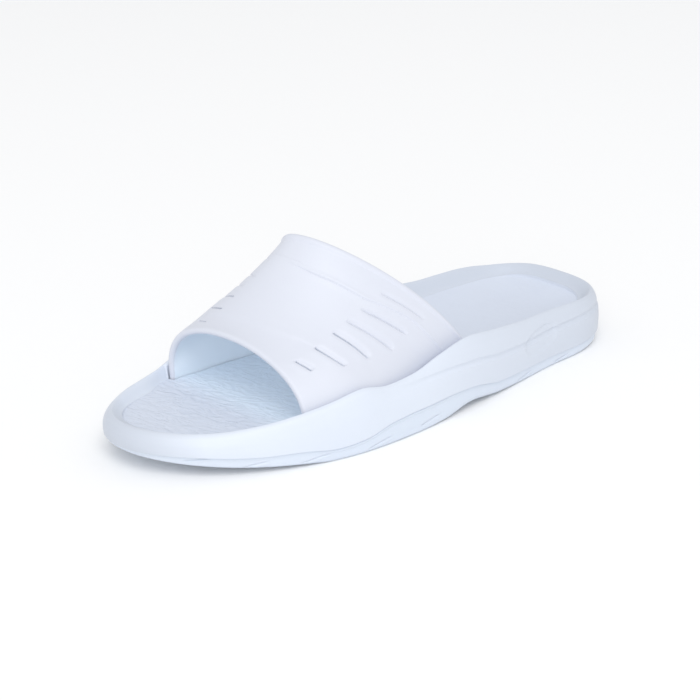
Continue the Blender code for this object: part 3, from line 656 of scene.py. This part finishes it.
# rows from the seat in the tray up the wall, whose groove is a clipped parabola, over the rim and down its inner
# slope to the pocket's floor
def midsoleBody():
    shape, out = midsoleShape, outsoleShape
    fit = soleHeights["fit"]
    lip, rim = lipTop(ringStation), rimTop(ringStation, ringSide)
    over = lip + fit
    inner = out["lipRecess"] + sideInset(lip) + out["lipWidth"] + fit
    lean = out["trayInset"] - out["lipRecess"] - out["lipWidth"] - sideInset(lip)
    seat = ringPoints(inner + np.maximum(lean, out["lipWidth"]), trayFloor(ringStation) + fit)

    groove = over + section(ringStation, "groove") * (rim - over)
    half = 0.5 * shape["grooveWidth"]
    depth = shape["grooveDepth"] * section(ringStation, "cut")
    low = np.linspace(0, 1, shape["lowRows"], endpoint=False)[:, None]
    mid = np.linspace(0, 1, shape["grooveRows"], endpoint=False)[:, None]
    high = np.linspace(0, 0.95, shape["highRows"])[:, None]
    span = shape["grooveSpan"] * half
    z = np.concatenate([
        over + low * (groove - span - over),
        groove + (2 * mid - 1) * span,
        groove + span + high * (rim - groove - span),
    ])
    cut = np.clip(1 - ((z - groove) / (shape["grooveHalf"] * half)) ** 2, 0, 1) ** shape["groovePower"] * depth
    wall = ringPoints(sideInset(z) + cut + recessDepth(ringStation, z), z)

    pocket = pocketInset()
    front, rear = strapShape["legInset"]
    tucked = (legInset(ringStation) - front) / (rear - front)
    clear = soleHeights["legFit"] + shape["tuckGap"] * tucked
    seatInset = pocket + (legInset(ringStation) - clear - pocket) * ringLeg
    dropFront, dropRear = strapShape["legDrop"]
    foot = rim - (1 + (dropFront + (dropRear - dropFront) * tucked - 1) * ringLeg) * (rim - bedEdge(ringStation))
    slope = np.linspace(0, 1, shape["slopeRows"])[:, None]
    opened = ease(slope, *shape["rimEase"])
    opened = (opened - opened[0]) / (opened[-1] - opened[0])
    drop = opened + (slope ** shape["legSlopePower"] - opened) * ringLeg
    rows = np.concatenate([
        seat[None],
        ringPoints(inner, over)[None],
        wall,
        ringPoints(shape["rimInset"] + slope * (seatInset - shape["rimInset"]), rim - drop * (rim - foot)),
        ringPoints(seatInset, pocketFloor(ringStation))[None],
    ])
    reach = np.zeros(len(rows))
    reach[1], reach[2], reach[-1 - len(slope)], reach[-2] = shape["softEdges"]
    return ringBody("midsoleFoam", softRows(rows, reach, 6), foamMaterial("midsole"))


# footbed: dished top with short waved massage ridges
footbedShape = {
    "edgeRound": 0.00006,
    "edgeGap": 0.00003,
    "cupPower": 2.2,
    # painted light on the bed under the strap starts and ends over the stretches below
    "paintedLightStretch": ((0.55, 0.64), (0.745, 0.825)),  # stations over which the strap's cover starts and ends
    "ridgePitch": 0.0050,
    "ridgeHeight": 0.00018,
    "ridgePower": 1.5,
    "ridgeEnds": (0.90, 0.98),  # shares of the way out over which the ridges run out
    "slant": 0.25,
    "waveHeight": 0.0024,
    "waveLength": 0.019,
    "waveSwing": (2.1, 0.021),  # in radians, and its length
    "runAcross": (0.0061, 1.7, 0.013),
    "runAlong": (0.0087, 1.3, 0.017),
    "least": 0.35,  # share of the ridges' height that is there in all places
    "strongFrom": (0.50, 0.62),
    "toeFade": (0.5, 0.86, 0.95),  # how much goes, and where
    "rows": 78,
}


# ridges = a sine across the bed whose lines wave, broken into short runs by a slower pattern
def ridgeHeight(x, y, station):
    shape = footbedShape
    swing, swingLength = shape["waveSwing"]
    wave = shape["waveHeight"] * np.sin(2 * np.pi * x / shape["waveLength"] + swing * np.sin(y / swingLength))
    phase = 2 * np.pi * (y + wave + shape["slant"] * x) / shape["ridgePitch"]
    (a, b, c), (d, e, f) = shape["runAcross"], shape["runAlong"]
    runs = 0.5 + 0.5 * np.sin(x / a + b * np.sin(y / c)) * np.sin(y / d + e * np.sin(x / f))
    least, (gone, start, end) = shape["least"], shape["toeFade"]
    strength = least + (1 - least) * ease(station, *shape["strongFrom"]) * (1 - gone * ease(station, start, end))
    ridge = (0.5 + 0.5 * np.sin(phase)) ** shape["ridgePower"]
    return shape["ridgeHeight"] * strength * (least + (1 - least) * runs) * ridge


# rows from the underside up the rounded edge and in over the top: bed's middle + cup * share^power + ridges
def footbedBody():
    shape = footbedShape
    fit, leg = soleHeights["fit"], ringLeg
    besideLeg = legInset(ringStation) + strapShape["wall"] + soleHeights["legFit"]
    inset = pocketInset() + shape["edgeGap"]
    inset = inset + (besideLeg - inset) * leg
    edge, roll = bedEdge(ringStation), shape["edgeRound"]
    turn = np.linspace(0, 0.5 * np.pi, 6)[:, None]
    rolled = ringPoints(inset + roll * (1 - np.cos(turn)), edge - roll * (1 - np.sin(turn)))
    under = ringPoints(inset, pocketFloor(ringStation) + fit)
    shares = np.concatenate([np.linspace(0.995, 0.03, shape["rows"]), [innermost]])
    plan = inwardRows(rolled[-1], shares)
    cup = soleHeights["cup"] * section(ringStation, "cup") * shares[:, None] ** shape["cupPower"]
    at = stationAt(plan[..., 1])
    fade = 1 - ease(shares[:, None], *shape["ridgeEnds"])
    z = bedMiddle(at) + cup + ridgeHeight(plan[..., 0], plan[..., 1], at) * fade
    top = np.concatenate([plan, z[..., None]], axis=-1)
    rows = np.concatenate([under[None], rolled, top])
    # painted light on the bed: the mask that makes the bed under the strap paler and bluer rises and falls over these
    # stations
    rear, front = shape["paintedLightStretch"]
    at = stationAt(rows[..., 1])
    paintedLightMask = ease(at, *rear) * (1 - ease(at, *front))
    return ringBody("footbedInsole", rows, foamMaterial("footbed"), paintedLightMask)


# strap: a wall carried from foot to foot, with six louvres on each side
strapLook = {
    # each louvre from front to rear: its place (0 front edge, 1 rear edge) at its upper and lower end, how far it
    # bows rearwards, where over the strap it starts and ends, its depth as a share, its ramp, its slit's width, and
    # how much further up the strap and further ahead it stands on the inner side
    "louvreNames": ("upper", "lower", "bow", "high", "low", "depth", "ramp", "slit", "innerUp", "innerAhead"),
    "louvres": (
        (0.131, 0.156, 0.002, 0.258, 0.192, 0.80, 0.045, 0.0007, 0.103, 0.000),
        (0.297, 0.325, -0.003, 0.260, 0.146, 1.00, 0.050, 0.0008, 0.120, 0.000),
        (0.462, 0.479, 0.005, 0.256, 0.126, 1.00, 0.050, 0.0007, 0.132, 0.040),
        (0.579, 0.627, 0.003, 0.243, 0.096, 0.85, 0.045, 0.0, 0.151, 0.055),
        (0.694, 0.750, 0.000, 0.229, 0.096, 0.70, 0.030, 0.0, 0.187, 0.085),
        (0.846, 0.887, 0.003, 0.214, 0.096, 0.40, 0.035, 0.0, 0.202, 0.085),
    ),
    "aheadStretch": (0.30, 0.55),
    # the crease behind the front band and the seam before the rear band, and how much of each shows, at places
    # over the strap from the outer foot to the inner foot
    "overStrap": (0.0, 0.10, 0.18, 0.25, 0.32, 0.39, 0.46, 0.50, 0.64, 0.75, 0.82, 1.0),
    "bandCrease": (0.300, 0.300, 0.300, 0.297, 0.280, 0.237, 0.243, 0.237, 0.226, 0.220, 0.220, 0.220),
    "creaseShare": (0.0, 0.0, 0.0, 0.3, 1.0, 1.0, 1.0, 1.0, 1.0, 0.0, 0.0, 0.0),
    "seamLine": (0.835, 0.832, 0.794, 0.758, 0.754, 0.746, 0.756, 0.760, 0.780, 0.790, 0.800, 0.835),
    "seamShare": (1.0, 1.0, 1.0, 1.0, 1.0, 0.9, 0.5, 0.0, 0.0, 0.0, 1.0, 1.0),
    "louvreDepth": 0.0010,
    "innerShare": 0.35,  # how deep the louvres are on the inner side
    "innerStretch": (0.45, 0.55),
    "louvreEnd": 0.20,  # share of a louvre over which each end runs out
    "steep": 0.010,
    "rampLeast": 0.4,  # share of the ramp that is left at a louvre's ends
    "rampStart": 0.3,
    "slitEnd": 0.05,
    "slitStretch": (0.03, 0.97),
    "blindSlit": 0.0008,  # width that places the lines where there is no slit
    "slitLeast": 0.0006,
    "crackDepth": 0.0008,
    "crackWidth": 0.00022,
    "crackBehind": 0.0003,
    "crackLeast": 0.3,
    "bandStep": 0.0004,
    "creaseRamp": (0.006, 0.022),  # ahead of the crease and behind it
    "seamDepth": 0.00022,
    "seamWidth": 0.00014,
    "seamFoot": (0.2, 0.14, 0.26),  # share of the seam's depth near the foot, and where it grows to all of it
    "seamRidge": 0.00026,
    "ridgeBehind": 0.0010,
    "ridgeWidth": 0.0007,
    "seamRamp": 0.012,
    "lipBulge": 0.0007,
    "lipStretch": (0.0026, 0.0040),  # distances from the rear edge
    "ribRise": 0.00018,
    "ribAhead": 0.020,
    "ribWidth": 0.016,
    "edgeRows": 8,
    # rows over the strap: start, end and count of each stretch
    "rowStretches": (
        (0.0, 0.080, 14), (0.080, 0.275, 88), (0.275, 0.560, 42), (0.560, 0.765, 92), (0.765, 1.0, 34),
    ),
    # lines of points from front to rear: their marks, and how many lines lie between one mark and the next
    "frontMarks": (1.0, 2.2),  # half walls behind the front edge
    "rearMarks": (2.6, 1.0),  # half walls ahead of the rear edge
    "seamMarks": (-0.0004, 0.0004, 0.0022),
    "seamAfter": 4,  # the louvre that they follow, counted from 0
    "frontLines": (4,),
    "louvreLines": (5, 5, 3, 3, 3),
    "seamLines": (3, 6, 4),
    "rearLines": (5, 6),
    "legRows": (1.0, 0.66, 0.33),  # shares of the way down to the leg's end
}
louvres = [dict(zip(strapLook["louvreNames"], row)) for row in strapLook["louvres"]]


# x and y run from foot to foot on a superellipse, z rises from just under the rim to the arch's height, less a sag
# that is full where t(1 - t)^2 is at its most, 4/27
def strapPoint(v, t):
    s = strapShape
    outer, inner, top = (strapEdge(t, name) for name in ("outer", "inner", "top"))
    power = 2 / np.where(v < 0.5, strapEdge(t, "square"), strapEdge(t, "squareInner"))
    height = bedMiddle(top) + strapEdge(t, "archHeight")
    shift = strapEdge(t, "topShift")
    feet = [outline(outer, 1) + inward(outer, 1) * legInset(outer)[..., None],
            outline(inner, -1) + inward(inner, -1) * legInset(inner)[..., None]]
    cosine, sine = np.cos(np.pi * v), np.sin(np.pi * v)
    across = np.sign(cosine) * np.abs(cosine) ** power
    up = np.clip(sine, 0, 1) ** power
    mean, reach = (feet[0] + feet[1]) / 2, (feet[0] - feet[1]) / 2
    x = mean[..., 0] + reach[..., 0] * across - shift * up
    y = mean[..., 1] + reach[..., 1] * across + (alongY(top) - mean[..., 1]) * up
    y = y + s["rearBow"] * t * 4 * up * (1 - up)
    footZ = np.where(across > 0, rimTop(outer, 1), rimTop(inner, -1)) - s["embed"]
    z = footZ + (height - footZ) * up - s["sag"] * 27 / 4 * t * (1 - t) ** 2 * up
    return np.stack([x, y, z], axis=-1)


# point, unit run from front to rear and unit outward normal, by differences
def strapFrame(v, t):
    step = 1e-4
    v = np.clip(v, 2 * step, 1 - 2 * step)
    point = strapPoint(v, t)
    runV = strapPoint(v + step, t) - strapPoint(v - step, t)
    runT = strapPoint(v, t + step) - strapPoint(v, t - step)
    normal = np.cross(runT, runV)
    normal /= np.linalg.norm(normal, axis=-1, keepdims=True)
    runT /= np.linalg.norm(runT, axis=-1, keepdims=True)
    return point, runT, normal


# how far along a louvre each place over the strap is: 0 at its upper end, 1 at its lower end
def louvreShare(row, v):
    reach = np.where(v < 0.5, v, 1 - v - row["innerUp"])
    return (row["high"] - reach) / (row["high"] - row["low"])


# a louvre's place = upper to lower end by its share, bowed by 4 share (1 - share), and ahead on the inner side
def louvreLine(row, v):
    share = np.clip(louvreShare(row, v), 0, 1)
    ahead = row["innerAhead"] * ease(v, *strapLook["aheadStretch"])
    return row["upper"] + (row["lower"] - row["upper"]) * share + row["bow"] * 4 * share * (1 - share) - ahead


# 1 along a louvre, falling to 0 on a quarter circle at each end
def louvreEnds(row, v, run):
    off = np.clip((np.abs(louvreShare(row, v) - 0.5) - 0.5 + run) / run, 0, 1)
    return np.sqrt(np.clip(1 - off ** 2, 0, 1))


# relief of the outer face = the front band's step - each louvre's depth * (eased down its steep front, eased up its
# ramp) + its rib, - the rear seam's cut + its ridge and step, + the fuller lip along the rear edge
def strapRelief(v, t, size):
    look = strapLook
    tables = ("bandCrease", "creaseShare", "seamLine", "seamShare")
    crease, creaseShare, seam, seamShare = (smoothCurve(v, look["overStrap"], look[name]) for name in tables)
    ahead, behind = look["creaseRamp"]
    relief = -look["bandStep"] * creaseShare * (1 - ease(t, crease - ahead, crease + behind))
    for row in louvres:
        place = louvreLine(row, v)
        inner = (1 - look["innerShare"]) * ease(v, *look["innerStretch"])
        ends = louvreEnds(row, v, look["louvreEnd"]) * (1 - inner)
        ramp = row["ramp"] * (look["rampLeast"] + (1 - look["rampLeast"]) * ends)
        shape = ease(t, place - look["steep"], place) * (1 - ease(t, place + look["rampStart"] * ramp, place + ramp))
        relief = relief - row["depth"] * look["louvreDepth"] * shape * ends
        if not row["slit"]:
            crack = np.exp(-(((t - place) * size - look["crackBehind"]) / look["crackWidth"]) ** 2)
            relief = relief - look["crackDepth"] * crack * ends * min(1.0, look["crackLeast"] + row["depth"])
        rib = np.exp(-((t - place + look["steep"] + look["ribAhead"]) / look["ribWidth"]) ** 2)
        relief = relief + look["ribRise"] * rib * ends
    fromSeam = (t - seam) * size
    least, start, end = look["seamFoot"]
    cutShare = seamShare * (least + (1 - least) * ease(v, start, end))
    relief = relief - look["seamDepth"] * cutShare * np.exp(-(fromSeam / look["seamWidth"]) ** 2)
    ridge = np.exp(-((fromSeam - look["ridgeBehind"]) / look["ridgeWidth"]) ** 2)
    relief = relief + look["seamRidge"] * seamShare * ridge
    relief = relief + look["bandStep"] * seamShare * ease(t, seam, seam + look["seamRamp"])
    fromEdge = (1 - t) * size
    return relief + look["lipBulge"] * (1 - ease(fromEdge, *look["lipStretch"]))


# rows over the strap from foot to foot, closer together along the louvres
def strapRows():
    rows = [np.linspace(low, high, count, endpoint=False) for low, high, count in strapLook["rowStretches"]]
    return np.concatenate(rows + [[1.0]])


# loops round the wall, one for each row over the strap: outer face = point + normal * relief, half round at the rear,
# inner face = point - normal * wall, half round in front; then the legs down to the pocket
def strapBody():
    look, s = strapLook, strapShape
    half = 0.5 * s["wall"]
    v = strapRows()
    size = np.linalg.norm(strapPoint(v, np.ones_like(v)) - strapPoint(v, np.zeros_like(v)), axis=-1)
    marks = [share * half / size for share in look["frontMarks"]]
    counts = [*look["frontLines"]]
    slitLines = look["louvreLines"][2]
    slitCells = []
    seam = smoothCurve(v, look["overStrap"], look["seamLine"])
    for number, row in enumerate(louvres):
        place, ramp = louvreLine(row, v), row["ramp"]
        width = (row["slit"] or look["blindSlit"]) / size * louvreEnds(row, v, look["slitEnd"])
        width = np.maximum(width, look["slitLeast"])
        marks += [place - look["steep"], place, place + width, place + 0.5 * ramp, place + ramp]
        counts += look["louvreLines"]
        if row["slit"]:
            slitCells.append((sum(counts[:-3]), row))
        if number == look["seamAfter"]:
            marks += [seam + off / size for off in look["seamMarks"]]
            counts += look["seamLines"]
    marks += [1 - share * half / size for share in look["rearMarks"]]
    counts += look["rearLines"]
    marks = np.array([np.broadcast_to(m, v.shape) for m in marks])
    marks = np.maximum.accumulate(marks, axis=0)
    lines = [marks[0]]
    for k, count in enumerate(counts):
        for share in np.arange(1, count + 1) / count:
            lines.append(marks[k] + (marks[k + 1] - marks[k]) * share)
    t = np.array(lines).T
    rows = np.repeat(v[:, None], t.shape[1], axis=1)
    point, run, normal = strapFrame(rows, t)
    outer = point + normal * strapRelief(rows, t, size[:, None])[..., None]
    inner = point - normal * s["wall"]
    turn = np.linspace(0, np.pi, look["edgeRows"] + 2)[1:-1, None, None]
    arcs = []
    for column, sign in ((-1, 1), (0, -1)):
        centre = 0.5 * (outer[:, column] + inner[:, column])
        across = 0.5 * (outer[:, column] - inner[:, column]) * sign
        arc = centre + across * np.cos(turn) + sign * half * run[:, column] * np.sin(turn)
        arcs.append(arc.transpose(1, 0, 2))
    loops = np.concatenate([outer, arcs[0], inner[:, ::-1], arcs[1]], axis=1)

    legRows = np.array(look["legRows"])
    feet = []
    for end in (0, -1):
        foot = np.repeat(loops[end][None], len(legRows), axis=0)
        bottom = pocketFloor(stationAt(loops[end][:, 1])) + soleHeights["fit"]
        foot[..., 2] += legRows[:, None] * (bottom - loops[end][:, 2])
        feet.append(foot)
    loops = np.concatenate([feet[0], loops, feet[1][::-1]])
    rowCount, columnCount = loops.shape[:2]
    lineCount = t.shape[1]
    first = len(legRows)

    keep = np.ones((rowCount - 1, columnCount), bool)
    mids = 0.5 * (v[1:] + v[:-1])
    start, end = look["slitStretch"]
    for column, row in slitCells:
        share = louvreShare(row, mids)
        hit = np.nonzero((share > start) & (share < end))[0] + first
        for at in range(column, column + slitLines):
            keep[hit, at] = False
            keep[hit, 2 * lineCount + look["edgeRows"] - 2 - at] = False
    faces = gridFaces(rowCount, columnCount).reshape(rowCount - 1, columnCount, 4)[keep].tolist()
    # a slit's walls join each edge between an open and a closed cell of the outer face to the inner face
    grid = np.arange(rowCount * columnCount).reshape(rowCount, columnCount)
    inside = slice(lineCount + look["edgeRows"], 2 * lineCount + look["edgeRows"])
    outerGrid, innerGrid = grid[:, :lineCount], grid[:, inside][:, ::-1]
    cells = keep[:, :lineCount - 1]
    for edges, down, along in ((cells[1:] != cells[:-1], 0, 1), (cells[:, 1:] != cells[:, :-1], 1, 0)):
        r, c = np.nonzero(edges)
        here, ahead = (r + along, c + down), (r + along + down, c + down + along)
        faces += np.stack([outerGrid[here], outerGrid[ahead], innerGrid[ahead], innerGrid[here]], -1).tolist()
    faces += grid[[0, -1]].tolist()
    # painted light: the mask is 1 over the whole inner face of the strap
    paintedLightMask = np.zeros((rowCount, columnCount))
    paintedLightMask[:, inside] = 1.0
    return makePiece("strapUpper", loops.reshape(-1, 3), faces, foamMaterial("strap"), paintedLightMask)


cameraSet = {
    "azimuth": 48.65,
    "elevation": 21.38,
    "roll": -0.77,
    "distance": 0.898,
    "target": (-0.00233, 0.0, 0.025),
    "sensor": 36.0,
    "picture": 700,  # the photo's width in pixels
    "focal": 1882,  # in the same pixels, as the shift is
    "shift": (-15.39, -10.82),
    "clip": (0.01, 50.0),
}


# right, up and back of what looks at the shoe from an azimuth and an elevation, rolled about its line of sight
def lookAxes(azimuth, elevation, roll=0.0):
    a, e, r = (math.radians(turn) for turn in (azimuth, elevation, roll))
    back = np.array([math.sin(a) * math.cos(e), -math.cos(a) * math.cos(e), math.sin(e)])
    right = np.array([math.cos(a), math.sin(a), 0.0])
    up = np.cross(back, right)
    return right * math.cos(r) + up * math.sin(r), up * math.cos(r) - right * math.sin(r), back


# links data as an object that looks at the target from a distance
def placeAt(name, data, axes, distance, target=(0.0, 0.0, 0.0)):
    turned = np.eye(4)
    turned[:3, :3] = np.array(axes).T
    turned[:3, 3] = np.array(target) + axes[2] * distance
    placed = bpy.data.objects.new(name, data)
    placed.matrix_world = Matrix(turned.tolist())
    bpy.context.scene.collection.objects.link(placed)
    return placed


def placeCamera():
    c = cameraSet
    data = bpy.data.cameras.new("camera")
    data.sensor_width, data.lens = c["sensor"], c["focal"] / c["picture"] * c["sensor"]
    data.shift_x, data.shift_y = (shift / c["picture"] for shift in c["shift"])
    data.clip_start, data.clip_end = c["clip"]
    axes = lookAxes(c["azimuth"], c["elevation"], c["roll"])
    bpy.context.scene.camera = placeAt("camera", data, axes, c["distance"], c["target"])


lightSet = {
    "key": {"azimuth": 55.0, "elevation": 52.0, "distance": 6.0, "size": 3.6, "power": 128.0,
            "color": (1.0, 0.99, 0.98)},
    "fill": {"azimuth": 44.0, "elevation": 20.0, "distance": 3.0, "size": 1.6, "power": 12.0,
            "color": (0.95, 0.98, 1.0)},
    "sky": {"color": (0.975, 0.985, 1.0), "strength": 0.74},
    "floor": (0.99, 0.99, 0.99),
    "floorRough": 0.9,
    "floorHalf": 6.0,  # half its width in metres
    "floorDepth": -0.0002,
}


def placeLights():
    for name in ("key", "fill"):
        lamp = lightSet[name]
        data = bpy.data.lights.new(name, "AREA")
        data.energy, data.size, data.color = lamp["power"], lamp["size"], lamp["color"]
        placeAt(name, data, lookAxes(lamp["azimuth"], lamp["elevation"]), lamp["distance"])
    world = bpy.data.worlds.new("sky")
    world.use_nodes = True
    sky = world.node_tree.nodes["Background"]
    sky.inputs["Color"].default_value = (*lightSet["sky"]["color"], 1.0)
    sky.inputs["Strength"].default_value = lightSet["sky"]["strength"]
    bpy.context.scene.world = world
    bpy.context.scene.view_settings.view_transform = "Standard"


def placeFloor():
    mesh = bpy.data.meshes.new("floor")
    half = lightSet["floorHalf"]
    corners = [(-half, -half), (half, -half), (half, half), (-half, half)]
    mesh.from_pydata([(x, y, lightSet["floorDepth"]) for x, y in corners], [], [(0, 1, 2, 3)])
    material = bpy.data.materials.new("paleFloor")
    material.use_nodes = True
    shader = material.node_tree.nodes["Principled BSDF"]
    shader.inputs["Base Color"].default_value = (*lightSet["floor"], 1.0)
    shader.inputs["Roughness"].default_value = lightSet["floorRough"]
    mesh.materials.append(material)
    floor = bpy.data.objects.new("floor", mesh)
    bpy.context.scene.collection.objects.link(floor)


for piece, node in (
    (outsoleBody(), "outsole"),
    (midsoleBody(), "midsole"),
    (footbedBody(), "footbed"),
    (strapBody(), "strap"),
):
    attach(piece, "root")
    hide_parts(node)
placeCamera()
placeLights()
placeFloor()
print("camera, lights and floor placed")
